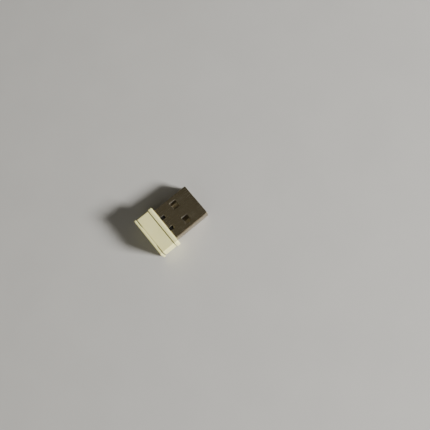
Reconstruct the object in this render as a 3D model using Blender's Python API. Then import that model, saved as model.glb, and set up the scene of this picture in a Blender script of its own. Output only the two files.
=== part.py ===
"""Nano USB network adapter: a Standard-A plug with a short moulded cap.

Plug frame (an empty called plug_axis): +X points out of the mouth of the plug,
Y runs across its width, +Z is the contact side, Z = 0 is the mid-plane of the
plug and X = 0 is the face of the cap that the shell comes out of.
All driving dimensions are millimetres and are turned into metres by MM.
"""
import math

import bmesh
import bpy
from mathutils import Vector

MM = 0.001

# ---------------------------------------------------------------- dimensions
# plug shell, folded from one strip of nickel-plated steel
PLUG_W = 12.0            # outside width of a Standard-A plug
PLUG_H = 4.5             # outside height of a Standard-A plug
PLUG_L = 13.2            # length that stands out of the cap
SHEET = 0.30             # sheet thickness
BEND_R = 0.36            # outside radius of the four bends
SHELL_TAIL = 2.25        # length of shell held inside the cap
COINED = 0.05            # the tail is pressed this much thinner, to slide into the cap
WINDOW_X = (5.50, 7.75)  # spring windows: along the plug
WINDOW_Y = (1.85, 4.50)  # spring windows: across, on both sides of the middle
NOTCH_X = (-1.10, 1.72)  # latch openings beside the cap
NOTCH_Y = (1.65, 2.85)
SEAM_GAP = 0.05          # butt joint of the folded sheet, on the underside

# moulded cap, in two pieces
CAP_W = 14.80            # over the two flanges
CAP_T = 6.40
CAP_R = 0.55             # corner radius of the flanges, seen end on
BODY_W = 14.26           # over the flat panels between the flanges
BODY_T = 5.86
BODY_R = 0.40
FLANGE_1 = 1.45          # front flange, along the plug
RELIEF = 0.12            # fine square groove at the foot of the front flange
SLEEVE_END = 6.17        # rear end of the sleeve
PLATE_FRONT = 6.34       # front of the end plate's flange; the gap is a groove
CAP_D = 7.24             # whole depth of the cap
STEP_W = 13.66           # floor of the groove
STEP_T = 5.36
RIB_W = 7.60             # along the middle the groove is only shallow
RIB_T = 5.68
FRONT_FILLET = 0.42      # front edge of the front flange: how far it falls
FRONT_REACH = 0.75       # and over what depth
INNER_FILLET = 0.16      # its rear edge; the flange stands 0.27 above the panels
REAR_FILLET = 0.28
CAVITY_W = 12.90
CAVITY_T = 4.70
CAVITY_START = 2.33
SPIGOT_END = 5.65

# board
BOARD_T = 0.60
BOARD_TOP = -0.05
BOARD_W = 10.80          # inside the shell
BOARD_TIP = 12.60
BOARD_WIDE = 12.40       # inside the cap, behind the shell
BOARD_REAR = -5.50
BOARD_STEP = -2.45
KEY_X = (0.20, 1.20)     # notch in each edge that takes the push of insertion
KEY_DEPTH = 0.35

PAD_T = 0.04             # plated copper
PAD_W = 1.20
PAD_PITCH = (1.0, 3.5)   # the four contacts lie at -3.5, -1.0, 1.0 and 3.5

GAP = 0.02               # clearance between pieces that sit on each other

# the origin is under the middle of the whole object, on the level of the
# lowest line of the flanges
SHOULDER_X = (CAP_D - PLUG_L) / 2
AXIS_Z = CAP_T / 2

IN_W = PLUG_W - 2 * SHEET
IN_H = PLUG_H - 2 * SHEET
IN_R = BEND_R - SHEET
FLOOR = -IN_H / 2 + GAP          # lowest level inside the shell
UNDER = BOARD_TOP - BOARD_T      # underside of the board


# ------------------------------------------------------------------ helpers
for old in list(bpy.data.objects):
    bpy.data.objects.remove(old, do_unlink=True)

scene = bpy.context.scene
frame = bpy.data.objects.new("plug_axis", None)
frame.location = (SHOULDER_X * MM, 0.0, AXIS_Z * MM)
scene.collection.objects.link(frame)


def finish_material(name, colour, roughness, metallic=0.0):
    mat = bpy.data.materials.new(name)
    mat.use_nodes = True
    bsdf = mat.node_tree.nodes["Principled BSDF"]
    bsdf.inputs["Base Color"].default_value = (*colour, 1.0)
    bsdf.inputs["Roughness"].default_value = roughness
    bsdf.inputs["Metallic"].default_value = metallic
    mat.diffuse_color = (*colour, 1.0)
    return mat


def add_object(name, bm, mat, location=(0, 0, 0), rotation=(0, 0, 0), sharp=35):
    """Turn a bmesh drawn in millimetres into a named object on the plug frame."""
    bmesh.ops.recalc_face_normals(bm, faces=bm.faces[:])
    if bm.calc_volume(signed=True) < 0:
        bmesh.ops.reverse_faces(bm, faces=bm.faces[:])
    bmesh.ops.scale(bm, vec=(MM, MM, MM), verts=bm.verts[:])
    mesh = bpy.data.meshes.new(name)
    bm.to_mesh(mesh)
    bm.free()
    mesh.shade_smooth()
    mesh.set_sharp_from_angle(angle=math.radians(sharp))
    ob = bpy.data.objects.new(name, mesh)
    scene.collection.objects.link(ob)
    ob.parent = frame
    ob.location = [c * MM for c in location]
    ob.rotation_euler = [math.radians(a) for a in rotation]
    if mat is not None:
        mesh.materials.append(mat)
    return ob


def rounded_rect(w, h, r, steps):
    """Outline of a rounded rectangle, anticlockwise, corner by corner."""
    pts = []
    for sy, sz, start in ((1, 1, 0), (-1, 1, 90), (-1, -1, 180), (1, -1, 270)):
        cy, cz = sy * (w / 2 - r), sz * (h / 2 - r)
        for i in range(steps + 1):
            a = math.radians(start + 90 * i / steps)
            pts.append((cy + r * math.cos(a), cz + r * math.sin(a)))
    return pts


def loft(sections, steps=6, ring=False):
    """Skin over rounded rectangles (x, width, height, radius) along X.

    ring joins the last section to the first, which makes a tube with a hole
    through it; otherwise both ends are closed with flat faces.
    """
    bm = bmesh.new()
    rows = []
    for x, w, h, r in sections:
        rows.append([bm.verts.new((x, y, z)) for y, z in rounded_rect(w, h, r, steps)])
    pairs = list(zip(rows, rows[1:]))
    if ring:
        pairs.append((rows[-1], rows[0]))
    for a, b in pairs:
        n = len(a)
        for i in range(n):
            bm.faces.new((a[i], a[(i + 1) % n], b[(i + 1) % n], b[i]))
    if not ring:
        bm.faces.new(rows[0])
        bm.faces.new(list(reversed(rows[-1])))
    return bm


def prism(outline, low, high):
    """Extrude a flat outline drawn in X-Y from one height to another."""
    bm = bmesh.new()
    face = bm.faces.new([bm.verts.new((x, y, low)) for x, y in outline])
    out = bmesh.ops.extrude_face_region(bm, geom=[face])
    top = [v for v in out["geom"] if isinstance(v, bmesh.types.BMVert)]
    bmesh.ops.translate(bm, verts=top, vec=(0, 0, high - low))
    return bm


def bar(outline, low, high):
    """Extrude an outline drawn in Y-Z along X."""
    bm = bmesh.new()
    face = bm.faces.new([bm.verts.new((low, y, z)) for y, z in outline])
    out = bmesh.ops.extrude_face_region(bm, geom=[face])
    top = [v for v in out["geom"] if isinstance(v, bmesh.types.BMVert)]
    bmesh.ops.translate(bm, verts=top, vec=(high - low, 0, 0))
    return bm


def block(x, y, z):
    """Plain box between three pairs of limits."""
    bm = bmesh.new()
    bmesh.ops.create_cube(bm, size=1.0)
    bmesh.ops.scale(bm, vec=(x[1] - x[0], y[1] - y[0], z[1] - z[0]), verts=bm.verts[:])
    bmesh.ops.translate(bm, vec=(sum(x) / 2, sum(y) / 2, sum(z) / 2), verts=bm.verts[:])
    return bm


def rounded_plan(x, y, r, steps=3):
    """Rounded rectangle in X-Y between two pairs of limits."""
    w, h = x[1] - x[0], y[1] - y[0]
    cx, cy = sum(x) / 2, sum(y) / 2
    return [(cx + a, cy + b) for a, b in rounded_rect(w, h, r, steps)]


def boolean(ob, bm, name, operation="DIFFERENCE"):
    """Cut, or join, a hidden tool body into an object."""
    tool = add_object(name, bm, None)
    tool.hide_render = True
    tool.display_type = "WIRE"
    mod = ob.modifiers.new(name, "BOOLEAN")
    mod.operation = operation
    mod.solver = "EXACT"
    mod.object = tool


def soften(ob, width, segments=2, angle=40):
    """Round the sharp edges of an object by a small radius in millimetres."""
    mod = ob.modifiers.new("soften", "BEVEL")
    mod.width = width * MM
    mod.segments = segments
    mod.limit_method = "ANGLE"
    mod.angle_limit = math.radians(angle)
    mod.use_clamp_overlap = True


def shrink(w, h, r, d):
    """The same rounded rectangle, smaller by d on every side."""
    return w - 2 * d, h - 2 * d, max(r - d, 0.05)


def fillet(x0, direction, radius, w, h, r, opening, steps=4, reach=None):
    """Sections that round the edge where a flat end meets the side.

    The flat end is at x0 and the body lies in the given X direction. opening
    lists the sections from the end to the side; otherwise side to end. A reach
    other than the radius makes the rounding elliptical.
    """
    rows = []
    for i in range(steps + 1):
        a = math.radians(90 * i / steps)
        x = x0 + direction * (reach or radius) * (1 - math.sin(a))
        rows.append((x, *shrink(w, h, r, radius * (1 - math.cos(a)))))
    return list(reversed(rows)) if opening else rows


# ---------------------------------------------------------------- materials
CREAM = finish_material("cream_abs", (0.72, 0.68, 0.50), 0.42)
NICKEL = finish_material("nickel_plated_steel", (0.55, 0.51, 0.44), 0.28, 1.0)
BLACK = finish_material("black_lcp", (0.018, 0.017, 0.016), 0.5)
MASK = finish_material("brown_laminate", (0.20, 0.165, 0.11), 0.4)
GOLD = finish_material("gold_plate", (0.83, 0.62, 0.26), 0.3, 1.0)
COPPER = finish_material("copper_under_mask", (0.30, 0.16, 0.06), 0.45, 1.0)
EPOXY = finish_material("black_epoxy", (0.022, 0.022, 0.024), 0.5)
CAN = finish_material("crystal_lid", (0.62, 0.60, 0.56), 0.32, 1.0)
CERAMIC = finish_material("brown_ceramic", (0.30, 0.19, 0.11), 0.55)
FERRITE = finish_material("grey_ferrite", (0.10, 0.10, 0.105), 0.6)
BLUE = finish_material("blue_ceramic", (0.10, 0.18, 0.30), 0.5)
RESISTOR = finish_material("black_glaze", (0.02, 0.02, 0.025), 0.35)
SOLDER = finish_material("solder", (0.60, 0.60, 0.59), 0.35, 1.0)


# --------------------------------------------------------------- plug shell
# One strip folded into a rectangular tube. The mouth flares slightly inside
# so that it slides over a socket's tongue; the outer edge is just broken.
shell = add_object("plug_shell", loft([
    (PLUG_L, *shrink(PLUG_W, PLUG_H, BEND_R, 0.09)),
    (PLUG_L - 0.03, *shrink(PLUG_W, PLUG_H, BEND_R, 0.03)),
    (PLUG_L - 0.09, PLUG_W, PLUG_H, BEND_R),
    (0.18, PLUG_W, PLUG_H, BEND_R),
    (0.04, *shrink(PLUG_W, PLUG_H, BEND_R, COINED)),
    (-SHELL_TAIL, *shrink(PLUG_W, PLUG_H, BEND_R, COINED)),
    (-SHELL_TAIL, IN_W, IN_H, IN_R),
    (PLUG_L - 0.28, IN_W, IN_H, IN_R),
    (PLUG_L, *shrink(IN_W, IN_H, IN_R, -0.10)),
], steps=6, ring=True), NICKEL)

# spring windows, the same on the contact side and underneath
for side in (-1, 1):
    ys = sorted((side * WINDOW_Y[0], side * WINDOW_Y[1]))
    boolean(shell, prism(rounded_plan(WINDOW_X, ys, 0.22), -PLUG_H, PLUG_H),
            "window_tool_%s" % ("right" if side < 0 else "left"))
# latch openings beside the cap, on the contact side only
for side in (-1, 1):
    ys = sorted((side * NOTCH_Y[0], side * NOTCH_Y[1]))
    boolean(shell, prism(rounded_plan(NOTCH_X, ys, 0.15), 0.5, PLUG_H),
            "notch_tool_%s" % ("right" if side < 0 else "left"))


def ribbon(path, width):
    """Outline of a strip of constant width along a bent line, mitred."""
    left, right = [], []
    for i, p in enumerate(path):
        here = Vector(p)
        before = (here - Vector(path[i - 1])).normalized() if i else None
        after = (Vector(path[i + 1]) - here).normalized() if i < len(path) - 1 else None
        before, after = before or after, after or before
        normal = Vector((-(before.y + after.y), before.x + after.x)).normalized()
        reach = width / 2 / max(0.3, normal.dot(Vector((-after.y, after.x))))
        left.append(tuple(here + normal * reach))
        right.append(tuple(here - normal * reach))
    return left + right[::-1]


# the butt joint runs the length of the underside and is locked by two
# dovetails, each wider at its head than at its root
joint = [(-SHELL_TAIL - 1.0, 0.0)]
for start in (1.6, 9.4):
    joint += [(start, 0.0), (start - 0.35, 0.95), (start + 2.25, 0.95), (start + 1.9, 0.0)]
joint.append((PLUG_L + 1.0, 0.0))
boolean(shell, prism(ribbon(joint, SEAM_GAP), -PLUG_H, -0.5), "seam_tool")


# ------------------------------------------------------------------ the cap
# Sleeve: a front flange, flat panels behind it, and a mouth that grips the
# tail of the shell. The cavity behind the shell holds the aerial end of the
# board and is open at the rear.
GRIP = 0.01              # the sleeve's opening is this much wider than the plug, each side
sleeve_rows = fillet(0.0, -1, FRONT_FILLET, CAP_W, CAP_T, CAP_R, opening=True, steps=5, reach=FRONT_REACH)
sleeve_rows += fillet(-FLANGE_1, 1, INNER_FILLET, CAP_W, CAP_T, CAP_R, opening=False)
sleeve_rows += [
    (-FLANGE_1, *shrink(BODY_W, BODY_T, BODY_R, RELIEF)),
    (-FLANGE_1 - RELIEF, *shrink(BODY_W, BODY_T, BODY_R, RELIEF)),
    (-FLANGE_1 - RELIEF, BODY_W, BODY_T, BODY_R),
    (-SLEEVE_END + 0.08, BODY_W, BODY_T, BODY_R),
    (-SLEEVE_END + 0.02, *shrink(BODY_W, BODY_T, BODY_R, 0.025)),
    (-SLEEVE_END, *shrink(BODY_W, BODY_T, BODY_R, 0.08)),
    (-SLEEVE_END, CAVITY_W, CAVITY_T, 0.5),
    (-CAVITY_START, CAVITY_W, CAVITY_T, 0.5),
    (-CAVITY_START, PLUG_W - 0.5, PLUG_H - 0.5, 0.4),
    (-SHELL_TAIL - 0.04, PLUG_W - 0.5, PLUG_H - 0.5, 0.4),
    (-SHELL_TAIL - 0.04, PLUG_W + 2 * GRIP, PLUG_H + 2 * GRIP, BEND_R + GRIP),
    (-0.10, PLUG_W + 2 * GRIP, PLUG_H + 2 * GRIP, BEND_R + GRIP),
    (0.0, PLUG_W + 0.18, PLUG_H + 0.18, BEND_R + 0.09),
]
sleeve = add_object("cap_sleeve", loft(sleeve_rows, steps=6, ring=True), CREAM)

# End plate: its flange stands off the sleeve by a shallow groove, a step
# closes the groove's floor, and a hollow spigot fits into the sleeve.
SPIGOT = (CAVITY_W - 0.10, CAVITY_T - 0.10, 0.45)
plate_rows = [
    (-PLATE_FRONT + 0.20, 11.2, 3.2, 0.35),
    (-SPIGOT_END, 11.2, 3.2, 0.35),
    (-SPIGOT_END, *shrink(*SPIGOT, 0.12)),
    (-SPIGOT_END - 0.12, *SPIGOT),
    (-SLEEVE_END - GAP, *SPIGOT),
    (-SLEEVE_END - GAP, STEP_W, STEP_T, 0.65),
    (-PLATE_FRONT, STEP_W, STEP_T, 0.65),
    (-PLATE_FRONT, *shrink(CAP_W, CAP_T, CAP_R, 0.07)),
    (-PLATE_FRONT - 0.02, *shrink(CAP_W, CAP_T, CAP_R, 0.02)),
    (-PLATE_FRONT - 0.07, CAP_W, CAP_T, CAP_R),
]
plate_rows += fillet(-CAP_D, 1, REAR_FILLET, CAP_W, CAP_T, CAP_R, opening=False)
end_plate = add_object("cap_end_plate", loft(plate_rows, steps=6), CREAM)
boolean(end_plate, block((-PLATE_FRONT - 0.05, -SLEEVE_END - GAP), (-RIB_W / 2, RIB_W / 2),
                         (-RIB_T / 2, RIB_T / 2)), "rib_tool", "UNION")


# ------------------------------------------------------------ circuit board
def board_outline(grow=0.0):
    """Plan of the board: narrow in the shell, wide in the cap, keyed edges."""
    half, wide = BOARD_W / 2 + grow, BOARD_WIDE / 2 + grow
    key = half - KEY_DEPTH
    a, b = KEY_X[0] + grow, KEY_X[1] - grow
    tip, rear, step = BOARD_TIP + grow, BOARD_REAR - grow, BOARD_STEP + grow
    cut = 0.45                      # broken corners at the tip
    side = [(step, wide - 0.3), (step - 0.3, wide), (rear + 0.3, wide), (rear, wide - 0.3)]
    upper = [(tip, half - cut), (tip - cut, half), (b, half), (b, key), (a, key),
             (a, half), (step, half)] + side
    return upper + [(x, -y) for x, y in reversed(upper)]


board = add_object("circuit_board", prism(board_outline(), UNDER, BOARD_TOP), MASK)

for label, y, front in (("power", -PAD_PITCH[1], 12.30), ("data_minus", -PAD_PITCH[0], 11.30),
                        ("data_plus", PAD_PITCH[0], 11.30), ("ground", PAD_PITCH[1], 12.30)):
    add_object("contact_" + label,
               prism(rounded_plan((4.20, front), (y - PAD_W / 2, y + PAD_W / 2), 0.28, 4),
                     BOARD_TOP + GAP / 2, BOARD_TOP + GAP / 2 + PAD_T), GOLD)


def meander(x0, x1, y0, y1, runs, width):
    """Plan of a trace that runs back and forth along X and steps along Y."""
    path = []
    for i in range(runs):
        y = y0 + (y1 - y0) * i / (runs - 1)
        path += [(x0, y), (x1, y)] if i % 2 == 0 else [(x1, y), (x0, y)]
    return ribbon(path, width)


add_object("antenna_trace",
           prism(meander(-2.95, -5.20, -4.80, 4.60, 11, 0.42),
                 BOARD_TOP + GAP / 2, BOARD_TOP + GAP / 2 + PAD_T), COPPER)


# ------------------------------------------------------------ board carrier
# A tray under the board that fills the lower half of the shell. Thin rails
# stand beside the board, a lip guards its tip, and two keys sit in its edge
# notches. Pads on the underside snap into the lower spring windows.
tray_half = IN_W / 2 - 2 * GAP
tray_r = IN_R + GAP
tray_section = [(-tray_half, BOARD_TOP), (-tray_half, FLOOR + tray_r)]
tray_section += [(-tray_half + tray_r - tray_r * math.cos(a), FLOOR + tray_r - tray_r * math.sin(a))
                 for a in (math.radians(22.5 * i) for i in range(1, 5))]
tray_section += [(-y, z) for y, z in reversed(tray_section)]
carrier = add_object("board_carrier", bar(tray_section, -SHELL_TAIL + GAP, PLUG_L - 0.25), BLACK)
boolean(carrier, prism(board_outline(GAP), UNDER - GAP, 1.0), "board_seat_tool")
boolean(carrier, prism(rounded_plan((-1.70, 12.10), (-4.70, 4.70), 0.3),
                       FLOOR + 0.33, 0.5), "component_pocket_tool")
for side in (-1, 1):
    ys = sorted((side * (WINDOW_Y[0] + 0.12), side * (WINDOW_Y[1] - 0.12)))
    boolean(carrier, prism(rounded_plan((WINDOW_X[0] + 0.12, WINDOW_X[1] - 0.12), ys, 0.2),
                           FLOOR - 0.20, FLOOR + 0.15),
            "window_pad_tool_%s" % ("right" if side < 0 else "left"), "UNION")

# ------------------------------------------------------------- board clamp
# A block over the rear of the board, inside the shell. It presses the board
# into the tray, and two nubs on top latch in the openings beside the cap.
CLAMP_X = (-1.62, 2.70)
CLAMP_LOW = BOARD_TOP + GAP
clamp_top = IN_H / 2 - GAP
clamp_section = [(-tray_half, CLAMP_LOW), (-tray_half, clamp_top - tray_r)]
clamp_section += [(-tray_half + tray_r - tray_r * math.cos(a), clamp_top - tray_r + tray_r * math.sin(a))
                  for a in (math.radians(22.5 * i) for i in range(1, 5))]
clamp_section += [(-y, z) for y, z in reversed(clamp_section)]
clamp = add_object("board_clamp", bar(clamp_section, *CLAMP_X), BLACK)
for side in (-1, 1):
    tag = "right" if side < 0 else "left"
    ys = sorted((side * (NOTCH_Y[0] - 0.25), side * (NOTCH_Y[1] + 0.25)))
    boolean(clamp, block((1.30, CLAMP_X[1] + 1), ys, (1.00, PLUG_H)), "pit_tool_" + tag)
    ys = sorted((side * (NOTCH_Y[0] + 0.08), side * (NOTCH_Y[1] - 0.08)))
    nub = block((NOTCH_X[0] + 0.08, 1.20), ys, (1.20, 2.10))
    for v in nub.verts:             # the leading face leans, so it snaps in
        if v.co.x > 1.0 and v.co.z > 2.0:
            v.co.x -= 0.30
    boolean(clamp, nub, "nub_tool_" + tag, "UNION")


# ----------------------------------------------- components under the board
def end_capped(name, x, y, length, width, height, body_mat, along="x"):
    """Ceramic chip part: two plated ends slightly larger than the middle."""
    cap_len, small = length * 0.24, 0.03
    rows = [(-length / 2, width - 0.08, height - 0.08, 0.05), (-length / 2 + 0.04, width, height, 0.06),
            (-length / 2 + cap_len, width, height, 0.06),
            (-length / 2 + cap_len, *shrink(width, height, 0.06, small)),
            (length / 2 - cap_len, *shrink(width, height, 0.06, small)),
            (length / 2 - cap_len, width, height, 0.06),
            (length / 2 - 0.04, width, height, 0.06), (length / 2, width - 0.08, height - 0.08, 0.05)]
    return add_object(name, loft(rows, steps=2), body_mat,
                      location=(x, y, UNDER - GAP - height / 2),
                      rotation=(0, 0, 0 if along == "x" else 90))


def package(name, x, y, length, width, height, mat, rows=None, steps=2):
    """Flat package whose face looks down, away from the board."""
    rows = rows or [(0, length, width, 0.06), (height - 0.06, length, width, 0.06),
                    (height, length - 0.12, width - 0.12, 0.05)]
    # the loft's X becomes -Z and its Y stays along the package's width
    return add_object(name, loft([(a, c, b, r) for a, b, c, r in rows], steps=steps), mat,
                      location=(x, y, UNDER - GAP), rotation=(0, 90, 0))


chip = package("wifi_chip", 5.70, 0.0, 5.0, 5.0, 0.85, EPOXY)
dimple = bmesh.new()
bmesh.ops.create_cone(dimple, cap_ends=True, segments=20, radius1=0.28, radius2=0.28, depth=0.3)
bmesh.ops.translate(dimple, vec=(3.85, 1.85, UNDER - GAP - 0.85 - 0.10), verts=dimple.verts[:])
boolean(chip, dimple, "pin_mark_tool")

package("crystal", 1.20, -3.05, 2.5, 2.0, 0.62, CAN, rows=[
    (0.0, 2.5, 2.0, 0.12), (0.34, 2.5, 2.0, 0.12), (0.34, 2.3, 1.8, 0.2),
    (0.56, 2.3, 1.8, 0.2), (0.62, 2.18, 1.68, 0.16)], steps=4)
package("voltage_regulator", 10.10, 3.10, 2.0, 2.0, 0.75, EPOXY)
package("power_inductor", 10.10, 0.30, 2.0, 1.6, 0.80, FERRITE, rows=[
    (0.0, 2.0, 1.6, 0.1), (0.18, 2.0, 1.6, 0.1), (0.18, 1.84, 1.44, 0.3), (0.62, 1.84, 1.44, 0.3),
    (0.62, 2.0, 1.6, 0.3), (0.76, 2.0, 1.6, 0.3), (0.80, 1.92, 1.52, 0.26)], steps=4)
package("esd_protector", 11.45, 0.30, 0.5, 1.0, 0.45, EPOXY)

end_capped("crystal_capacitor_1", 0.70, -1.50, 1.0, 0.5, 0.5, CERAMIC)
end_capped("crystal_capacitor_2", 2.10, -1.50, 1.0, 0.5, 0.5, CERAMIC)
end_capped("input_capacitor", 10.10, -1.50, 1.6, 0.8, 0.8, CERAMIC)
end_capped("output_capacitor", 7.60, 3.50, 1.6, 0.8, 0.8, CERAMIC)
end_capped("ferrite_bead", 10.10, -2.75, 1.0, 0.5, 0.5, FERRITE)
end_capped("decoupling_capacitor_1", 4.00, -3.30, 1.0, 0.5, 0.5, CERAMIC)
end_capped("decoupling_capacitor_2", 5.70, -3.30, 1.0, 0.5, 0.5, CERAMIC)
end_capped("decoupling_capacitor_3", 7.40, -3.30, 1.0, 0.5, 0.5, CERAMIC)
end_capped("decoupling_capacitor_4", 5.00, 3.50, 1.0, 0.5, 0.5, CERAMIC)
end_capped("bias_resistor", 1.50, 3.40, 1.0, 0.5, 0.35, RESISTOR)
end_capped("matching_capacitor_1", 2.20, 0.30, 1.0, 0.5, 0.5, CERAMIC)
end_capped("matching_inductor", 0.75, 0.30, 1.0, 0.5, 0.5, BLUE)
end_capped("matching_capacitor_2", -0.45, 0.95, 1.0, 0.5, 0.5, CERAMIC, along="y")

# solder fillets that ground the shell's tail to the board's edges
for side, tag in ((-1, "right"), (1, "left")):
    wall = IN_W / 2 - GAP
    base = BOARD_TOP + GAP
    hollow = [(wall - 0.75 + 0.75 * (1 - math.cos(math.radians(a))), base + 0.55 - 0.55 * math.sin(math.radians(90 - a)) + 0.0)
              for a in (0, 30, 60, 90)]
    section = [(wall, base), *[(y, z + 0.04) for y, z in hollow[::-1]], (wall - 0.75, base)]
    outline = [(side * y, z) for y, z in section]
    add_object("shell_solder_" + tag, bar(outline, -SHELL_TAIL + 0.05, CLAMP_X[0] - 0.06), SOLDER)
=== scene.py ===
"""Looks of a nano USB network adapter: nickel-plated plug, cream cap, black insulators, gilt contacts.

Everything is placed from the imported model. Shapes are drawn in millimetres in the plug frame
(+X out of the mouth, Z = 0 on the mid-plane of the plug, X = 0 on the cap's front face).
"""
import math

import bmesh
import bpy
import numpy as np
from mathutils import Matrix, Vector


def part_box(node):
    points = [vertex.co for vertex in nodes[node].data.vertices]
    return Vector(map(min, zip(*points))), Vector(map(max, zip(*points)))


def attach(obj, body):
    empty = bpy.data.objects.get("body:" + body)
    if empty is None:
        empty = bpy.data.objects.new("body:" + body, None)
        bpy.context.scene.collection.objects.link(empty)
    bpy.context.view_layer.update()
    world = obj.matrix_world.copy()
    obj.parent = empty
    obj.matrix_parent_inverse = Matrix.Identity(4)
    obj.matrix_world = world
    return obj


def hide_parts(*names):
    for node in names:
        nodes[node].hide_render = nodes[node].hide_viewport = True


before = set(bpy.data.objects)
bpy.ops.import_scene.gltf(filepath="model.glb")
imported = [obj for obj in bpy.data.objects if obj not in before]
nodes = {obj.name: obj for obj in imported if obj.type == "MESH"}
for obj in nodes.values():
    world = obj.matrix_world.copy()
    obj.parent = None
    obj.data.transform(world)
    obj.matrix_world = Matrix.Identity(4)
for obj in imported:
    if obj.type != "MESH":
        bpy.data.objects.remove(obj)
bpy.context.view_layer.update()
MM = 0.001

shell_lo, shell_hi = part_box("plug_shell")
sleeve_lo, sleeve_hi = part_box("cap_sleeve")
plate_lo, plate_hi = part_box("cap_end_plate")
SHOULDER = sleeve_hi.x                       # row frame, metres
AXIS_Z = (shell_lo.z + shell_hi.z) / 2

PLUG_W = (shell_hi.y - shell_lo.y) / MM      # 12.0
PLUG_H = (shell_hi.z - shell_lo.z) / MM      # 4.5
PLUG_L = (shell_hi.x - SHOULDER) / MM        # 13.2
TAIL = (SHOULDER - shell_lo.x) / MM          # 2.25
CAP_W = (sleeve_hi.y - sleeve_lo.y) / MM     # 14.8
CAP_T = (sleeve_hi.z - sleeve_lo.z) / MM     # 6.4
SLEEVE_END = (SHOULDER - sleeve_lo.x) / MM   # 6.17
CAP_D = (SHOULDER - plate_lo.x) / MM         # 7.24
PLATE_TIP = (SHOULDER - plate_hi.x) / MM     # 5.65

SHEET = 0.30
BEND_R = 0.36
COINED = 0.05
IN_W, IN_H, IN_R = PLUG_W - 2 * SHEET, PLUG_H - 2 * SHEET, BEND_R - SHEET
CAP_R, BODY_R = 0.55, 0.40
BODY_W, BODY_T = CAP_W - 0.54, CAP_T - 0.54
FLANGE_1, RELIEF = 1.45, 0.12
PLATE_FRONT = 6.34
STEP_W, STEP_T = 13.66, 5.36
RIB_W, RIB_T = 7.60, 5.68
CAVITY_W, CAVITY_T = 12.90, 4.70


# =================================================================== meshes
def to_row(x, y, z):
    return Vector((SHOULDER + x * MM, y * MM, AXIS_Z + z * MM))


def finish_mesh(name, bm, sharp=None):
    bmesh.ops.recalc_face_normals(bm, faces=bm.faces[:])
    if bm.calc_volume(signed=True) < 0:
        bmesh.ops.reverse_faces(bm, faces=bm.faces[:])
    for v in bm.verts:
        v.co = to_row(*v.co)
    mesh = bpy.data.meshes.new(name)
    bm.to_mesh(mesh)
    bm.free()
    mesh.shade_smooth()
    if sharp is not None:
        mesh.set_sharp_from_angle(angle=math.radians(sharp))
    ob = bpy.data.objects.new(name, mesh)
    bpy.context.scene.collection.objects.link(ob)
    return ob


def rounded_rect(w, h, r, steps, split=1):
    """Rounded rectangle, anticlockwise; split divides each straight side."""
    pts = []
    corners = ((1, 1, 0), (-1, 1, 90), (-1, -1, 180), (1, -1, 270))
    for k, (sy, sz, start) in enumerate(corners):
        cy, cz = sy * (w / 2 - r), sz * (h / 2 - r)
        for i in range(steps + 1):
            a = math.radians(start + 90 * i / steps)
            pts.append((cy + r * math.cos(a), cz + r * math.sin(a)))
        if split > 1:
            ny, nz, nstart = corners[(k + 1) % 4]
            a = math.radians(nstart)
            end = (ny * (w / 2 - r) + r * math.cos(a), nz * (h / 2 - r) + r * math.sin(a))
            here = pts[-1]
            for j in range(1, split):
                t = j / split
                pts.append((here[0] + (end[0] - here[0]) * t, here[1] + (end[1] - here[1]) * t))
    return pts


def shrink(w, h, r, d):
    return w - 2 * d, h - 2 * d, max(r - d, 0.03)


def loft(sections, steps=10, ring=False, split=1, shape=None):
    """Skin over rounded rectangles (x, width, height, radius) along X."""
    bm = bmesh.new()
    rows = []
    for x, w, h, r in sections:
        row = []
        for y, z in rounded_rect(w, h, r, steps, split):
            p = (x, y, z)
            if shape is not None:
                p = shape(*p)
            row.append(bm.verts.new(p))
        rows.append(row)
    pairs = list(zip(rows, rows[1:]))
    if ring:
        pairs.append((rows[-1], rows[0]))
    for a, b in pairs:
        n = len(a)
        for i in range(n):
            bm.faces.new((a[i], a[(i + 1) % n], b[(i + 1) % n], b[i]))
    if not ring:
        bm.faces.new(rows[0])
        bm.faces.new(list(reversed(rows[-1])))
    return bm


def round_edge(x0, direction, radius, w, h, r, to_side, steps=8, reach=None):
    """Sections that round the edge between a flat end at x0 and the side; elliptical with a reach."""
    rows = []
    for i in range(steps + 1):
        a = math.radians(90 * i / steps)
        rows.append((x0 + direction * (reach or radius) * (1 - math.sin(a)),
                     *shrink(w, h, r, radius * (1 - math.cos(a)))))
    return list(reversed(rows)) if to_side else rows


def stack(levels):
    """Closed body through outlines of equal length at rising heights."""
    bm = bmesh.new()
    rows = [[bm.verts.new((x, y, z)) for x, y in outline] for z, outline in levels]
    for a, b in zip(rows, rows[1:]):
        n = len(a)
        for i in range(n):
            bm.faces.new((a[i], a[(i + 1) % n], b[(i + 1) % n], b[i]))
    bm.faces.new(rows[0])
    bm.faces.new(list(reversed(rows[-1])))
    return bm


def ribbon(path, width):
    left, right = [], []
    for i, p in enumerate(path):
        here = Vector(p)
        before = (here - Vector(path[i - 1])).normalized() if i else None
        after = (Vector(path[i + 1]) - here).normalized() if i < len(path) - 1 else None
        before, after = before or after, after or before
        normal = Vector((-(before.y + after.y), before.x + after.x)).normalized()
        reach = width / 2 / max(0.3, normal.dot(Vector((-after.y, after.x))))
        left.append(tuple(here + normal * reach))
        right.append(tuple(here - normal * reach))
    return left + right[::-1]


def cut(ob, tools, operation="DIFFERENCE"):
    """Take each tool body out of the object, or join it on, one after another, and keep the result."""
    for bm in tools:
        tool = finish_mesh("tool", bm)
        mod = ob.modifiers.new("cut", "BOOLEAN")
        mod.operation = operation
        mod.solver = "EXACT"
        mod.object = tool
        bpy.context.view_layer.update()
        dg = bpy.context.evaluated_depsgraph_get()
        mesh = bpy.data.meshes.new_from_object(ob.evaluated_get(dg))
        ob.modifiers.clear()
        old, ob.data = ob.data, mesh
        bpy.data.meshes.remove(old)
        bpy.data.objects.remove(tool)
    return ob


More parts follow.
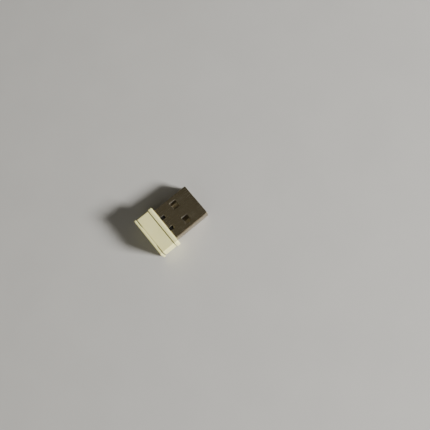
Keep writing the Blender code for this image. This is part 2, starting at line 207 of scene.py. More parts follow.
def level_normals(ob):
    """Flat areas stay flat where they run into rounded edges."""
    mod = ob.modifiers.new("level", "WEIGHTED_NORMAL")
    mod.mode = "FACE_AREA"
    mod.weight = 60
    mod.keep_sharp = True


# ================================================================ materials
class Finish:
    """One node material, in millimetres over the object's own coordinates."""

    def __init__(self, name, colour, roughness, metallic=0.0, **sockets):
        self.mat = bpy.data.materials.new(name)
        self.mat.use_nodes = True
        self.tree = self.mat.node_tree
        self.bsdf = self.tree.nodes["Principled BSDF"]
        self.bsdf.inputs["Base Color"].default_value = (*colour, 1)
        self.bsdf.inputs["Roughness"].default_value = roughness
        self.bsdf.inputs["Metallic"].default_value = metallic
        for key, value in sockets.items():
            self.bsdf.inputs[key.replace("_", " ")].default_value = value
        self.mat.diffuse_color = (*colour, 1)
        coords = self.node("ShaderNodeTexCoord")
        self.generated = coords.outputs["Generated"]
        self.mm = self.mapped((1000, 1000, 1000), coords.outputs["Object"])
        self.heights = []

    def node(self, kind, **props):
        n = self.tree.nodes.new(kind)
        for key, value in props.items():
            setattr(n, key, value)
        return n

    def wire(self, a, b):
        self.tree.links.new(a, b)

    def mapped(self, scale, source=None, rotation=(0, 0, 0), location=(0, 0, 0)):
        n = self.node("ShaderNodeMapping")
        n.inputs["Scale"].default_value = scale
        n.inputs["Rotation"].default_value = [math.radians(a) for a in rotation]
        n.inputs["Location"].default_value = location
        self.wire(source or self.mm, n.inputs["Vector"])
        return n.outputs["Vector"]

    def noise(self, scale, detail=3.0, rough=0.55, source=None, distortion=0.0):
        n = self.node("ShaderNodeTexNoise")
        n.inputs["Scale"].default_value = scale
        n.inputs["Detail"].default_value = detail
        n.inputs["Roughness"].default_value = rough
        n.inputs["Distortion"].default_value = distortion
        self.wire(source or self.mm, n.inputs["Vector"])
        return n.outputs["Fac"]

    def cells(self, scale, source=None, feature="F1", randomness=1.0):
        n = self.node("ShaderNodeTexVoronoi", feature=feature)
        n.inputs["Scale"].default_value = scale
        n.inputs["Randomness"].default_value = randomness
        self.wire(source or self.mm, n.inputs["Vector"])
        return n.outputs["Distance"]

    def span(self, value, lo, hi, a=0.0, b=1.0, smooth=False):
        n = self.node("ShaderNodeMapRange")
        n.interpolation_type = "SMOOTHSTEP" if smooth else "LINEAR"
        n.inputs["From Min"].default_value = lo
        n.inputs["From Max"].default_value = hi
        n.inputs["To Min"].default_value = a
        n.inputs["To Max"].default_value = b
        self.wire(value, n.inputs["Value"])
        return n.outputs["Result"]

    def math(self, op, a, b=None, clamp=False):
        n = self.node("ShaderNodeMath", operation=op, use_clamp=clamp)
        for i, v in enumerate((a, b)):
            if v is None:
                continue
            if isinstance(v, (int, float)):
                n.inputs[i].default_value = v
            else:
                self.wire(v, n.inputs[i])
        return n.outputs[0]

    def axis(self, which, source=None):
        n = self.node("ShaderNodeSeparateXYZ")
        self.wire(source or self.mm, n.inputs[0])
        return n.outputs[which]

    def band(self, value, centre, half, soft):
        """1 within half of centre, falling to 0 over soft."""
        d = self.math("ABSOLUTE", self.math("SUBTRACT", value, centre))
        return self.span(d, half, half + soft, 1.0, 0.0, smooth=True)

    def mix(self, fac, a, b, blend="MIX"):
        n = self.node("ShaderNodeMix", data_type="RGBA", blend_type=blend)
        if isinstance(fac, (int, float)):
            n.inputs[0].default_value = fac
        else:
            self.wire(fac, n.inputs[0])
        for socket, v in ((6, a), (7, b)):
            if isinstance(v, tuple):
                n.inputs[socket].default_value = (*v, 1) if len(v) == 3 else v
            else:
                self.wire(v, n.inputs[socket])
        return n.outputs[2]

    def height(self, value, microns):
        """Add a relief of so many micrometres from a 0-1 value."""
        self.heights.append(self.math("MULTIPLY", value, float(microns)))

    def done(self, colour=None, roughness=None, metallic=None, strength=1.0):
        if colour is not None:
            self.wire(colour, self.bsdf.inputs["Base Color"])
        if roughness is not None:
            self.wire(roughness, self.bsdf.inputs["Roughness"])
        if metallic is not None:
            self.wire(metallic, self.bsdf.inputs["Metallic"])
        if self.heights:
            total = self.heights[0]
            for h in self.heights[1:]:
                total = self.math("ADD", total, h)
            bump = self.node("ShaderNodeBump")
            bump.inputs["Strength"].default_value = strength
            bump.inputs["Distance"].default_value = 1e-6
            self.wire(total, bump.inputs["Height"])
            self.wire(bump.outputs["Normal"], self.bsdf.inputs["Normal"])
        return self.mat


def nickel():
    """Bright nickel over cold-rolled strip: faint rolling lines, hazy patches, fine handling scratches."""
    f = Finish("nickel_plate", (0.54, 0.49, 0.40), 0.24, 1.0)
    lines = f.noise(1.0, 5.0, 0.65, f.mapped((0.30, 16.0, 16.0)))
    patches = f.noise(0.55, 4.0, 0.6)
    peel = f.noise(2.6, 2.0, 0.5)
    grain = f.noise(28.0, 2.0, 0.6)
    streak_a = f.span(f.noise(1.0, 2.0, 0.5, f.mapped((0.22, 7.0, 7.0), rotation=(0, 0, 7))), 0.64, 0.70)
    streak_b = f.span(f.noise(1.0, 2.0, 0.5, f.mapped((0.35, 9.0, 9.0), rotation=(0, 0, -21),
                                                      location=(5, 2, 9))), 0.66, 0.71)
    # where a socket's springs slide: two tracks on the flat faces, from the windows to the mouth
    y = f.math("ABSOLUTE", f.axis(1))
    x = f.axis(0)
    mouth_x = shell_hi.x / MM
    track = f.math("MULTIPLY", f.band(y, 3.15, 0.55, 0.5), f.span(x, mouth_x - 7.5, mouth_x - 5.0, 0.0, 1.0))
    rub = f.math("MULTIPLY", track, f.span(f.noise(1.0, 3.0, 0.6, f.mapped((0.18, 26.0, 26.0), location=(3, 1, 4))), 0.50, 0.62))
    scratch = f.math("ADD", f.math("MULTIPLY", streak_a, 0.6), f.math("MULTIPLY", streak_b, 0.4))
    scratch = f.math("ADD", scratch, f.math("MULTIPLY", rub, 0.7), clamp=True)
    colour = f.mix(f.span(patches, 0.35, 0.70), (0.555, 0.500, 0.405), (0.500, 0.445, 0.350))
    colour = f.mix(f.math("MULTIPLY", scratch, 0.35), colour, (0.64, 0.60, 0.53))
    # painted shade: from the bends down the flanks the plating colour is darkened, and the flanks are made a little
    # rougher
    flank_shade_and_dull = f.span(y, PLUG_W / 2 - 0.42, PLUG_W / 2 - 0.28, 0.0, 1.0, smooth=True)
    drawn = f.span(f.noise(1.0, 3.0, 0.6, f.mapped((0.6, 5.0, 3.0), location=(8, 2, 6))), 0.30, 0.70, 0.75, 1.0)
    colour = f.mix(f.math("MULTIPLY", flank_shade_and_dull, drawn), colour, f.mix(1.0, colour, (0.68, 0.63, 0.54), "MULTIPLY"))
    rough = f.span(patches, 0.30, 0.75, 0.18, 0.29)
    rough = f.math("ADD", rough, f.math("MULTIPLY", flank_shade_and_dull, 0.06))
    rough = f.math("ADD", rough, f.math("MULTIPLY", scratch, 0.14))
    rough = f.math("ADD", rough, f.span(lines, 0.3, 0.7, -0.03, 0.05))
    f.height(lines, 0.9)
    f.height(peel, 5.0)
    f.height(grain, 0.25)
    f.height(f.math("MULTIPLY", scratch, -1.0), 0.8)
    return f.done(colour, rough)


def cut_steel():
    """Stamped edge of the strip: bare, greyer and rougher than the plating."""
    f = Finish("stamped_edge", (0.68, 0.64, 0.57), 0.60, 1.0)
    drag = f.noise(1.0, 4.0, 0.6, f.mapped((9.0, 9.0, 1.5)))
    spots = f.noise(3.0, 3.0, 0.6)
    colour = f.mix(f.span(spots, 0.45, 0.75), (0.74, 0.70, 0.62), (0.55, 0.50, 0.42))
    f.height(drag, 4.0)
    return f.done(colour, f.span(drag, 0.3, 0.7, 0.55, 0.72))


def cream(name, shade_bands):
    """Moulded cream ABS: satin spark-eroded skin, slight yellowing, painted shade where edges meet."""
    f = Finish(name, (0.86, 0.82, 0.49), 0.40, 0.0, Subsurface_Weight=0.08, Subsurface_Scale=0.0008,
               Specular_IOR_Level=0.5, IOR=1.53)
    f.bsdf.inputs["Subsurface Radius"].default_value = (1.0, 0.75, 0.45)
    slow = f.noise(0.20, 2.0, 0.5)
    fine = f.noise(1.6, 4.0, 0.6)
    skin = f.noise(11.0, 3.0, 0.6)
    pits = f.span(f.cells(6.0), 0.05, 0.16, 0.0, 1.0)
    scuff = f.span(f.noise(1.0, 3.0, 0.5, f.mapped((0.5, 8.0, 8.0), rotation=(15, 0, 38))), 0.66, 0.74)
    scuff_b = f.span(f.noise(1.0, 3.0, 0.5, f.mapped((7.0, 0.45, 7.0), rotation=(0, 20, 11),
                                                     location=(4, 4, 1))), 0.68, 0.75)
    colour = f.mix(f.span(slow, 0.35, 0.65), (0.888, 0.850, 0.425), (0.864, 0.820, 0.375))
    colour = f.mix(f.span(fine, 0.30, 0.75, 0.0, 0.25), colour, (0.830, 0.782, 0.36))
    # painted shade: dark bands across the cap at its grooves and joints, stronger towards the deep ends where asked
    painted_shade = None
    x = f.axis(0)
    ends = f.span(f.math("ABSOLUTE", f.axis(1)), 3.4, 4.2, 0.0, 1.0, smooth=True)
    for at, half, soft, amount, only_ends in shade_bands:
        g = f.math("MULTIPLY", f.band(x, SHOULDER / MM - at, half, soft), amount)
        if only_ends:
            g = f.math("MULTIPLY", g, f.span(ends, 0.0, 1.0, 1.0 - only_ends, 1.0))
        painted_shade = g if painted_shade is None else f.math("MAXIMUM", painted_shade, g)
    # painted shade: the dark bands are kept to the recesses and taken off whatever stands proud
    off_centre = f.math("ABSOLUTE", f.math("SUBTRACT", f.axis(2), AXIS_Z / MM))
    sunk = f.math("MINIMUM", f.math("SUBTRACT", CAP_W / 2, f.math("ABSOLUTE", f.axis(1))),
                  f.math("SUBTRACT", CAP_T / 2, off_centre))
    painted_shade = f.math("MULTIPLY", painted_shade, f.span(sunk, 0.03, 0.15, 0.0, 1.0, smooth=True))
    painted_shade = f.math("MULTIPLY", painted_shade, f.span(fine, 0.25, 0.60, 0.82, 1.0))
    colour = f.mix(painted_shade, colour, (0.13, 0.11, 0.06))
    rub = f.math("ADD", f.math("MULTIPLY", scuff, 0.5), f.math("MULTIPLY", scuff_b, 0.5), clamp=True)
    colour = f.mix(f.math("MULTIPLY", rub, 0.25), colour, (0.90, 0.87, 0.66))
    rough = f.span(fine, 0.3, 0.7, 0.34, 0.46)
    rough = f.math("ADD", rough, f.math("MULTIPLY", rub, 0.10))
    f.height(skin, 4.5)
    f.height(pits, 1.5)
    f.height(f.noise(0.5, 1.0, 0.5), 14.0)
    f.height(f.math("MULTIPLY", rub, -1.0), 2.0)
    return f.done(colour, rough)


def insulator():
    """Black glass-filled polymer: flow marks, short pale fibres, slightly glossy moulded skin."""
    f = Finish("black_insulator", (0.017, 0.016, 0.015), 0.48, Specular_IOR_Level=0.28)
    flow = f.noise(1.0, 4.0, 0.6, f.mapped((0.7, 2.6, 2.6)), distortion=0.6)
    fibres = f.span(f.noise(1.0, 2.0, 0.5, f.mapped((4.0, 26.0, 26.0), rotation=(10, 14, 25))), 0.68, 0.76)
    skin = f.noise(16.0, 3.0, 0.6)
    colour = f.mix(f.span(flow, 0.35, 0.70), (0.0075, 0.007, 0.0065), (0.014, 0.013, 0.0115))
    colour = f.mix(f.math("MULTIPLY", fibres, 0.30), colour, (0.07, 0.066, 0.058))
    f.height(flow, 5.0)
    f.height(skin, 2.5)
    return f.done(colour, f.span(skin, 0.3, 0.7, 0.34, 0.48))


def board_finish():
    """Brown laminate under a clear mask, copper traces as shallow ridges; raw weave on the routed edges."""
    f = Finish("brown_laminate", (0.20, 0.165, 0.11), 0.36)
    geo = f.node("ShaderNodeNewGeometry")
    up = f.math("ABSOLUTE", f.axis(2, geo.outputs["Normal"]))
    edge = f.span(up, 0.45, 0.75, 1.0, 0.0)
    weave_x = f.noise(1.0, 1.0, 0.5, f.mapped((2.0, 0.4, 14.0)))
    weave_y = f.noise(1.0, 1.0, 0.5, f.mapped((0.4, 2.0, 14.0), location=(2, 5, 0)))
    laminate = f.mix(f.span(f.math("MAXIMUM", weave_x, weave_y), 0.5, 0.68), (0.30, 0.235, 0.115), (0.46, 0.39, 0.24))
    # traces run towards the chip as shallow ridges under the mask
    wave = f.node("ShaderNodeTexWave", wave_type="BANDS", bands_direction="Y", wave_profile="SIN")
    wave.inputs["Scale"].default_value = 0.62
    wave.inputs["Distortion"].default_value = 0.0
    wave.inputs["Detail"].default_value = 0.0
    f.wire(f.mapped((0.25, 1.0, 1.0)), wave.inputs["Vector"])
    trace = f.span(wave.outputs["Fac"], 0.70, 0.82)
    peel = f.noise(5.0, 2.0, 0.5)
    mask = f.mix(f.span(peel, 0.35, 0.65), (0.265, 0.222, 0.150), (0.220, 0.182, 0.120))
    mask = f.mix(f.math("MULTIPLY", trace, 0.30), mask, (0.30, 0.235, 0.145))
    colour = f.mix(edge, mask, laminate)
    rough = f.math("ADD", f.span(peel, 0.3, 0.7, 0.28, 0.40), f.math("MULTIPLY", edge, 0.35))
    f.height(trace, 6.0)
    f.height(peel, 2.5)
    return f.done(colour, rough)


def gilt():
    """Hard gold over nickel: brushed by the socket's springs along the length, thin at the leading end."""
    f = Finish("gold_contact", (0.62, 0.54, 0.39), 0.28, 1.0)
    lines = f.noise(1.0, 4.0, 0.6, f.mapped((0.25, 30.0, 30.0)))
    grain = f.noise(9.0, 3.0, 0.6)
    worn = f.math("MULTIPLY", f.span(f.noise(1.0, 3.0, 0.6, f.mapped((0.35, 9.0, 9.0), location=(1, 7, 2))), 0.52, 0.68),
                  f.span(f.axis(0), shell_hi.x / MM - 6.0, shell_hi.x / MM - 1.0, 0.1, 0.8))
    colour = f.mix(f.span(grain, 0.3, 0.75), (0.64, 0.565, 0.42), (0.57, 0.49, 0.35))
    colour = f.mix(worn, colour, (0.58, 0.54, 0.46))
    rough = f.math("ADD", f.span(lines, 0.3, 0.7, 0.20, 0.36), f.math("MULTIPLY", worn, 0.10))
    f.height(lines, 1.4)
    f.height(grain, 1.8)
    return f.done(colour, rough)


def moulding_compound():
    f = Finish("moulding_compound", (0.024, 0.024, 0.026), 0.55)
    grain = f.noise(22.0, 3.0, 0.65)
    slow = f.noise(0.9, 2.0, 0.5)
    colour = f.mix(f.span(slow, 0.35, 0.65), (0.021, 0.021, 0.023), (0.034, 0.034, 0.036))
    colour = f.mix(f.span(grain, 0.62, 0.72, 0.0, 0.5), colour, (0.075, 0.075, 0.08))
    f.height(grain, 5.0)
    return f.done(colour, f.span(grain, 0.3, 0.7, 0.48, 0.64))


def tinned_ends(name, dark, light, along=0, gloss=0.45):
    """Chip part: reflowed tin on both ends, fired ceramic between them."""
    f = Finish(name, light, gloss)
    t = f.math("ABSOLUTE", f.math("SUBTRACT", f.axis(along, f.generated), 0.5))
    ragged = f.math("ADD", t, f.span(f.noise(9.0, 3.0, 0.6), 0.3, 0.7, -0.012, 0.012))
    tin = f.span(ragged, 0.255, 0.262)
    grain = f.noise(14.0, 3.0, 0.6)
    body = f.mix(f.span(grain, 0.3, 0.7), dark, light)
    pale = f.mix(f.span(f.noise(5.0, 3.0, 0.6), 0.35, 0.7), (0.66, 0.655, 0.64), (0.50, 0.495, 0.48))
    f.height(grain, 2.5)
    rough = f.math("ADD", f.span(grain, 0.3, 0.7, gloss - 0.07, gloss + 0.07), f.math("MULTIPLY", tin, -0.10))
    return f.done(f.mix(tin, body, pale), rough, tin)


def plain_metal(name, dark, light, rough, brush=(1.0, 1.0, 1.0)):
    f = Finish(name, light, rough, 1.0)
    grain = f.noise(8.0, 4.0, 0.6, f.mapped(brush))
    slow = f.noise(1.5, 3.0, 0.6)
    f.height(grain, 2.5)
    return f.done(f.mix(f.span(slow, 0.35, 0.7), light, dark), f.span(grain, 0.3, 0.7, rough - 0.07, rough + 0.09))


def buried_copper():
    """The printed aerial: copper seen through black mask."""
    f = Finish("masked_copper", (0.05, 0.035, 0.022), 0.34)
    grain = f.noise(7.0, 3.0, 0.6)
    f.height(grain, 2.0)
    return f.done(f.mix(f.span(grain, 0.3, 0.7), (0.040, 0.029, 0.019), (0.062, 0.043, 0.026)),
                  f.span(grain, 0.3, 0.7, 0.28, 0.40))


NICKEL, EDGE = nickel(), cut_steel()
# painted shade: the bands given here darken the flange's foot, the sleeve-to-plate groove and the joint with the plug
CREAM_SLEEVE = cream("cream_sleeve", [(FLANGE_1 + RELIEF / 2, 0.12, 0.10, 1.0, 0.0), (SLEEVE_END, 0.05, 0.10, 0.95, 0.75), (-0.02, 0.03, 0.04, 0.10, 0.0)])
CREAM_PLATE = cream("cream_end_plate", [(PLATE_FRONT, 0.18, 0.05, 1.0, 0.70)])
BLACK, BOARD, GOLD, CHIP = insulator(), board_finish(), gilt(), moulding_compound()
TAN_X = tinned_ends("ceramic_capacitor", (0.20, 0.125, 0.07), (0.34, 0.22, 0.125))
TAN_Y = tinned_ends("ceramic_capacitor_across", (0.20, 0.125, 0.07), (0.34, 0.22, 0.125), along=1)
GREY_X = tinned_ends("ferrite_chip", (0.07, 0.07, 0.075), (0.13, 0.13, 0.135))
BLUE_X = tinned_ends("ceramic_inductor", (0.07, 0.13, 0.22), (0.12, 0.21, 0.34))
DARK_X = tinned_ends("chip_resistor", (0.012, 0.012, 0.015), (0.03, 0.03, 0.036), gloss=0.3)
LID = plain_metal("crystal_lid", (0.52, 0.50, 0.45), (0.68, 0.66, 0.61), 0.30, (0.4, 3.0, 3.0))
TIN = plain_metal("reflowed_solder", (0.48, 0.48, 0.46), (0.64, 0.64, 0.62), 0.30)
COPPER = buried_copper()


def piece(ob, mats, replaces):
    for m in mats:
        ob.data.materials.append(m)
    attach(ob, "root")
    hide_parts(replaces)
    return ob


# =============================================================== plug shell
mouth = PLUG_L
shell_rows = [
    (mouth, *shrink(PLUG_W, PLUG_H, BEND_R, 0.130)),
    (mouth - 0.006, *shrink(PLUG_W, PLUG_H, BEND_R, 0.080)),
    (mouth - 0.022, *shrink(PLUG_W, PLUG_H, BEND_R, 0.040)),
    (mouth - 0.050, *shrink(PLUG_W, PLUG_H, BEND_R, 0.014)),
    (mouth - 0.090, *shrink(PLUG_W, PLUG_H, BEND_R, 0.003)),
    (mouth - 0.140, PLUG_W, PLUG_H, BEND_R),
]
for x in (mouth - 1.2, mouth * 0.62, mouth * 0.30, 0.4, 0.18):
    shell_rows.append((x, PLUG_W, PLUG_H, BEND_R))
for x in (0.04, -TAIL):
    shell_rows.append((x, *shrink(PLUG_W, PLUG_H, BEND_R, COINED)))
shell_rows += [
    (-TAIL, IN_W, IN_H, IN_R),
    (mouth - 0.42, IN_W, IN_H, IN_R),
    (mouth - 0.30, *shrink(IN_W, IN_H, IN_R, -0.010)),
    (mouth - 0.12, *shrink(IN_W, IN_H, IN_R, -0.060)),
    (mouth - 0.03, *shrink(IN_W, IN_H, IN_R, -0.095)),
    (mouth, *shrink(IN_W, IN_H, IN_R, -0.130)),
]
shell = finish_mesh("plug_shell_plated", loft(shell_rows, steps=14, ring=True, split=2))

WINDOW_X, WINDOW_Y = (5.50, 7.75), (1.85, 4.50)
NOTCH_X, NOTCH_Y = (-1.10, 1.72), (1.65, 2.85)
ROLL = ((0.105, 0.0), (0.074, 0.006), (0.046, 0.019), (0.022, 0.043), (0.006, 0.079), (0.0, 0.112))   # die roll: outwards, deep


def opening(xr, yr, r, outside, steps=7):
    """Cutter for a stamped opening whose outer rim is drawn in by the punch."""
    def outline(grow):
        w, h = xr[1] - xr[0] + 2 * grow, yr[1] - yr[0] + 2 * grow
        cx, cy = sum(xr) / 2, sum(yr) / 2
        return [(cx + a, cy + b) for a, b in rounded_rect(w, h, r + grow, steps)]
    surface = PLUG_H / 2
    levels = [(surface + 0.5, outline(ROLL[0][0])), (surface + 0.001, outline(ROLL[0][0]))]
    levels += [(surface - deep, outline(out)) for out, deep in ROLL[1:]]
    levels.append((surface - SHEET - 0.25, outline(0.0)))
    if outside < 0:
        levels = [(-z, o) for z, o in levels]
    return stack(levels)


tools = []
for side in (-1, 1):
    ys = sorted((side * WINDOW_Y[0], side * WINDOW_Y[1]))
    tools += [opening(WINDOW_X, ys, 0.22, 1), opening(WINDOW_X, ys, 0.22, -1)]
    ys = sorted((side * NOTCH_Y[0], side * NOTCH_Y[1]))
    tools.append(opening(NOTCH_X, ys, 0.15, 1, steps=5))

joint = [(-TAIL - 1.0, 0.0)]
for start in (1.6, 9.4):
    joint += [(start, 0.0), (start - 0.35, 0.95), (start + 2.25, 0.95), (start + 1.9, 0.0)]
joint.append((mouth + 1.0, 0.0))
seam = [(-PLUG_H / 2 - 0.5, 0.125), (-PLUG_H / 2 - 0.001, 0.125), (-PLUG_H / 2 + 0.010, 0.085),
        (-PLUG_H / 2 + 0.030, 0.060), (-PLUG_H / 2 + 0.060, 0.050), (-PLUG_H / 2 + SHEET + 0.3, 0.050)]
tools.append(stack([(z, ribbon(joint, w)) for z, w in seam]))
cut(shell, tools)


def depth_in_sheet(x, y, z):
    """How far under the plug's outer surface a point lies, in millimetres."""
    qy, qz = abs(y) - (PLUG_W / 2 - BEND_R), abs(z) - (PLUG_H / 2 - BEND_R)
    if qy > 0 and qz > 0:
        return BEND_R - math.hypot(qy, qz)
    return min(PLUG_W / 2 - abs(y), PLUG_H / 2 - abs(z))


piece(shell, [NICKEL, EDGE], "plug_shell")
for poly in shell.data.polygons:
    c = (poly.center - to_row(0, 0, 0)) / MM
    if 0.075 < depth_in_sheet(*c) < SHEET - 0.02 and c.x < mouth - 0.001:
        poly.material_index = 1
    elif abs(poly.normal.x) > 0.9:
        poly.material_index = 1
shell.data.shade_smooth()
shell.data.set_sharp_from_angle(angle=math.radians(38))
level_normals(shell)


# ====================================================================== cap
GRIP = 0.01
FRONT_R, FRONT_REACH, INNER_R, REAR_R = 0.42, 0.75, 0.16, 0.28


def sink(x, y, z):
    """The wide panels draw in by a few hundredths as the plastic cools."""
    if -SLEEVE_END + 0.3 < x < -FLANGE_1 - 0.3:
        along = math.sin(math.pi * (x + FLANGE_1 + 0.3) / -(SLEEVE_END - FLANGE_1 - 0.6))
        if abs(z) > BODY_T / 2 - 0.02:
            z -= math.copysign(0.035 * along * max(0.0, 1 - (y / 6.2) ** 2), z)
        elif abs(y) > BODY_W / 2 - 0.02:
            y -= math.copysign(0.020 * along * max(0.0, 1 - (z / 2.1) ** 2), y)
    return x, y, z


sleeve_rows = round_edge(0.0, -1, FRONT_R, CAP_W, CAP_T, CAP_R, to_side=True, steps=10, reach=FRONT_REACH)
sleeve_rows += round_edge(-FLANGE_1, 1, INNER_R, CAP_W, CAP_T, CAP_R, to_side=False, steps=8)
sleeve_rows += [
    (-FLANGE_1, *shrink(BODY_W, BODY_T, BODY_R, RELIEF - 0.02)),
    (-FLANGE_1 - 0.02, *shrink(BODY_W, BODY_T, BODY_R, RELIEF)),
    (-FLANGE_1 - RELIEF + 0.02, *shrink(BODY_W, BODY_T, BODY_R, RELIEF)),
    (-FLANGE_1 - RELIEF, *shrink(BODY_W, BODY_T, BODY_R, RELIEF - 0.02)),
]
sleeve_rows += round_edge(-FLANGE_1 - RELIEF, -1, 0.03, BODY_W, BODY_T, BODY_R, to_side=True, steps=3)
for i in range(1, 12):
    t = i / 12
    sleeve_rows.append((-(FLANGE_1 + RELIEF + 0.03) - t * (SLEEVE_END - 0.08 - FLANGE_1 - RELIEF - 0.03), BODY_W, BODY_T, BODY_R))
sleeve_rows += round_edge(-SLEEVE_END, 1, 0.08, BODY_W, BODY_T, BODY_R, to_side=False, steps=5)
sleeve_rows += [
    (-SLEEVE_END, CAVITY_W + 0.1, CAVITY_T + 0.1, 0.55),
    (-SLEEVE_END + 0.05, CAVITY_W, CAVITY_T, 0.5),
    (-2.33, CAVITY_W, CAVITY_T, 0.5),
    (-2.33, PLUG_W - 0.5, PLUG_H - 0.5, 0.4),
    (-TAIL - 0.04, PLUG_W - 0.5, PLUG_H - 0.5, 0.4),
    (-TAIL - 0.04, PLUG_W + 2 * GRIP, PLUG_H + 2 * GRIP, BEND_R + GRIP),
    (-0.10, PLUG_W + 2 * GRIP, PLUG_H + 2 * GRIP, BEND_R + GRIP),
    (-0.05, *shrink(PLUG_W + 2 * GRIP, PLUG_H + 2 * GRIP, BEND_R + GRIP, -0.016)),
    (-0.015, *shrink(PLUG_W + 2 * GRIP, PLUG_H + 2 * GRIP, BEND_R + GRIP, -0.045)),
    (0.0, *shrink(PLUG_W + 2 * GRIP, PLUG_H + 2 * GRIP, BEND_R + GRIP, -0.085)),
]
sleeve = finish_mesh("cap_sleeve_moulded", loft(sleeve_rows, steps=12, ring=True, split=10, shape=sink), sharp=50)
piece(sleeve, [CREAM_SLEEVE], "cap_sleeve")
level_normals(sleeve)

SPIGOT = (CAVITY_W - 0.10, CAVITY_T - 0.10, 0.45)
plate_rows = [
    (-PLATE_FRONT + 0.20, 11.2, 3.2, 0.35),
    (-PLATE_TIP - 0.05, 11.2, 3.2, 0.35),
    (-PLATE_TIP, 11.3, 3.3, 0.40),
    (-PLATE_TIP, *shrink(*SPIGOT, 0.12)),
    (-PLATE_TIP - 0.12, *SPIGOT),
    (-SLEEVE_END - 0.02, *SPIGOT),
    (-SLEEVE_END - 0.02, STEP_W, STEP_T, 0.65),
    (-PLATE_FRONT, STEP_W, STEP_T, 0.65),
]
plate_rows += round_edge(-PLATE_FRONT, -1, 0.09, CAP_W, CAP_T, CAP_R, to_side=True, steps=5)
plate_rows += round_edge(-CAP_D, 1, REAR_R, CAP_W, CAP_T, CAP_R, to_side=False, steps=10)


def ease(x, y, z):
    """Beyond the rib the end plate's edge stands a little farther off the sleeve."""
    if -PLATE_FRONT - 0.095 < x < -PLATE_FRONT + 0.001 and max(abs(y) - STEP_W / 2, abs(z) - STEP_T / 2) > -0.001:
        t = min(1.0, max(0.0, (abs(y) - RIB_W / 2 - 0.25) / 0.8))
        x -= 0.09 * t * t * (3 - 2 * t)
    return x, y, z


plate = finish_mesh("cap_end_plate_moulded", loft(plate_rows, steps=12, split=26, shape=ease))
# the sprue was here: a shallow round recess with a sheared stub, off the middle of the end face
gate_levels = []
for x, r in ((-CAP_D - 0.3, 0.46), (-CAP_D - 0.001, 0.46), (-CAP_D + 0.010, 0.435), (-CAP_D + 0.030, 0.42), (-CAP_D + 0.050, 0.39)):
    gate_levels.append((x, r))
bm = bmesh.new()
rows = []
for x, r in gate_levels:
    rows.append([bm.verts.new((x, 4.3 + r * math.cos(2 * math.pi * i / 40), r * math.sin(2 * math.pi * i / 40))) for i in range(40)])
for a, b in zip(rows, rows[1:]):
    for i in range(40):
        bm.faces.new((a[i], a[(i + 1) % 40], b[(i + 1) % 40], b[i]))
bm.faces.new(rows[0])
bm.faces.new(list(reversed(rows[-1])))
cut(plate, [bm])
# along the middle a low rib spaces the end plate, so the groove is shallow there and deep at its ends
bm = bmesh.new()
bmesh.ops.create_cube(bm, size=1.0)
bmesh.ops.scale(bm, vec=(PLATE_FRONT + 0.11 - SLEEVE_END - 0.03, RIB_W, RIB_T), verts=bm.verts[:])
bmesh.ops.translate(bm, vec=(-(PLATE_FRONT + 0.11 + SLEEVE_END + 0.03) / 2, 0, 0), verts=bm.verts[:])
cut(plate, [bm], "UNION")
plate.data.shade_smooth()
plate.data.set_sharp_from_angle(angle=math.radians(50))
piece(plate, [CREAM_PLATE], "cap_end_plate")
level_normals(plate)


# ========================================================== inner CAD pieces
FINISH_OF = {
    "board_carrier": BLACK, "board_clamp": BLACK, "circuit_board": BOARD,
    "contact_power": GOLD, "contact_data_minus": GOLD, "contact_data_plus": GOLD, "contact_ground": GOLD,
    "antenna_trace": COPPER, "wifi_chip": CHIP, "voltage_regulator": CHIP, "esd_protector": CHIP,
    "crystal": LID, "power_inductor": GREY_X, "ferrite_bead": GREY_X, "matching_inductor": BLUE_X,
    "bias_resistor": DARK_X, "matching_capacitor_2": TAN_Y, "shell_solder_left": TIN, "shell_solder_right": TIN,
}
SOFTEN = {"board_carrier": 0.05, "board_clamp": 0.05, "circuit_board": 0.015, "wifi_chip": 0.03,
          "voltage_regulator": 0.03, "contact_power": 0.012, "contact_data_minus": 0.012,
          "contact_data_plus": 0.012, "contact_ground": 0.012}
for name, ob in nodes.items():
    if name in ("plug_shell", "cap_sleeve", "cap_end_plate"):
        continue
    mat = FINISH_OF.get(name, TAN_X)
    if not ob.data.materials:
        ob.data.materials.append(mat)
    for i in range(len(ob.data.materials)):
        ob.data.materials[i] = mat
    if name in SOFTEN:
        weld = ob.modifiers.new("weld", "WELD")
        weld.merge_threshold = 1e-7
        bevel = ob.modifiers.new("soften", "BEVEL")
        bevel.width = SOFTEN[name] * MM
        bevel.segments = 2
        bevel.limit_method = "ANGLE"
        bevel.angle_limit = math.radians(40)
        bevel.use_clamp_overlap = True
        level_normals(ob)


# ============================================================ floor and light
# The adapter lies on the lower front edge of the cap and the lower lip of the
# plug, so the surface it lies on is a few degrees off its own level plane.
def resting_line():
    """Tangent under the cap and the plug's mouth: (slope, height at X = 0), row frame."""
    pts = []
    for ob in (sleeve, plate, shell):
        co = np.empty(len(ob.data.vertices) * 3)
        ob.data.vertices.foreach_get("co", co)
        pts.append(co.reshape(-1, 3)[:, (0, 2)])
    cap = np.vstack(pts[:2])
    lip = pts[2]
    slope, lift = 0.073, 0.0
    for _ in range(20):
        a = cap[np.argmin(cap[:, 1] - slope * cap[:, 0])]
        b = lip[np.argmin(lip[:, 1] - slope * lip[:, 0])]
        slope = (b[1] - a[1]) / (b[0] - a[0])
        lift = a[1] - slope * a[0]
    return slope, lift


slope, lift = resting_line()
tilt = math.atan(slope)
up = Vector((-math.sin(tilt), 0, math.cos(tilt)))


def paper():
    f = Finish("pale_paper", (0.52, 0.515, 0.50), 0.85, 0.0, Specular_IOR_Level=0.25)
    fibres = f.noise(3.0, 5.0, 0.65)
    clouds = f.noise(0.05, 3.0, 0.5)
    colour = f.mix(f.span(clouds, 0.35, 0.65), (0.512, 0.507, 0.494), (0.532, 0.527, 0.512))
    colour = f.mix(f.span(fibres, 0.35, 0.70, 0.0, 0.35), colour, (0.500, 0.494, 0.479))
    f.height(fibres, 16.0)
    return f.done(colour, f.span(fibres, 0.3, 0.7, 0.80, 0.92))


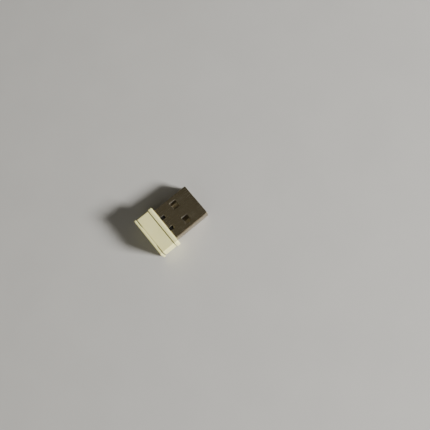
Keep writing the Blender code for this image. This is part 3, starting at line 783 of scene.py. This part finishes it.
bm = bmesh.new()
bmesh.ops.create_grid(bm, x_segments=8, y_segments=8, size=1.5)
floor_mesh = bpy.data.meshes.new("table_paper")
bm.to_mesh(floor_mesh)
bm.free()
floor = bpy.data.objects.new("table_paper", floor_mesh)
bpy.context.scene.collection.objects.link(floor)
floor.rotation_euler = (0.0, -tilt, 0.0)
floor.location = (0.0, 0.0, lift)
floor_mesh.materials.append(paper())

centre = to_row(2.9, 0.0, 0.0)


def soft_light(name, direction, distance, size, power, colour):
    data = bpy.data.lights.new(name, "AREA")
    data.shape = "RECTANGLE"
    data.size, data.size_y = size
    data.energy = power
    data.color = colour
    ob = bpy.data.objects.new(name, data)
    bpy.context.scene.collection.objects.link(ob)
    d = Vector(direction).normalized()
    ob.location = centre + d * distance
    ob.rotation_mode = "QUATERNION"
    ob.rotation_quaternion = d.to_track_quat("Z", "Y")
    return ob


KEY = (0.5325, -0.7322, 0.4250)
soft_light("key_window", KEY, 1.00, (0.24, 0.20), 25.5, (1.0, 0.985, 0.95))
soft_light("fill_window", (-0.72, -0.30, 0.62), 1.00, (0.55, 0.55), 0.95, (1.0, 0.975, 0.95))

# the room: dark and warm overhead, paler low down, brighter behind the cap than beyond the plug
world = bpy.data.worlds.new("studio")
bpy.context.scene.world = world
world.use_nodes = True
wt = world.node_tree
bg = wt.nodes["Background"]
tc = wt.nodes.new("ShaderNodeTexCoord")


def along(direction):
    dot = wt.nodes.new("ShaderNodeVectorMath")
    dot.operation = "DOT_PRODUCT"
    dot.inputs[1].default_value = direction
    wt.links.new(tc.outputs["Generated"], dot.inputs[0])
    return dot.outputs["Value"]


ramp = wt.nodes.new("ShaderNodeValToRGB")
wt.links.new(along(up), ramp.inputs["Fac"])
stops = ramp.color_ramp.elements
stops[0].position, stops[0].color = 0.0, (0.250, 0.248, 0.240, 1)
stops[1].position, stops[1].color = 0.97, (0.128, 0.117, 0.080, 1)
for position, colour in ((0.40, (0.150, 0.148, 0.140)), (0.78, (0.124, 0.116, 0.094))):
    stops.new(position).color = (*colour, 1)


def sum_of(op, a, b):
    n = wt.nodes.new("ShaderNodeMath")
    n.operation = op
    for socket, v in zip(n.inputs, (a, b)):
        if isinstance(v, float):
            socket.default_value = v
        elif v is not None:
            wt.links.new(v, socket)
    return n.outputs[0]


across = sum_of("ABSOLUTE", along(Vector((0.0, 1.0, 0.0))), None)
side = sum_of("SUBTRACT", sum_of("MULTIPLY", along(Vector((-1.0, 0.0, 0.0))), 0.60), sum_of("MULTIPLY", across, 0.80))
side = sum_of("MAXIMUM", sum_of("ADD", side, 1.0), 0.10)
bend = wt.nodes.new("ShaderNodeVectorMath")
bend.operation = "SCALE"
wt.links.new(ramp.outputs["Color"], bend.inputs[0])
wt.links.new(side, bend.inputs["Scale"])
wt.links.new(bend.outputs["Vector"], bg.inputs["Color"])
bg.inputs["Strength"].default_value = 1.0


# =================================================================== camera
cam_data = bpy.data.cameras.new("camera")
cam_data.sensor_width = 36.0
cam_data.lens = 36.0 * 427.92 / 430.0
cam_data.clip_start, cam_data.clip_end = 0.01, 10.0
camera = bpy.data.objects.new("camera", cam_data)
bpy.context.scene.collection.objects.link(camera)
camera.location = (-0.0013173, -0.0345444, 0.1424977)
camera.rotation_euler = (math.radians(11.7353), math.radians(2.8854), math.radians(-39.7250))
bpy.context.scene.camera = camera
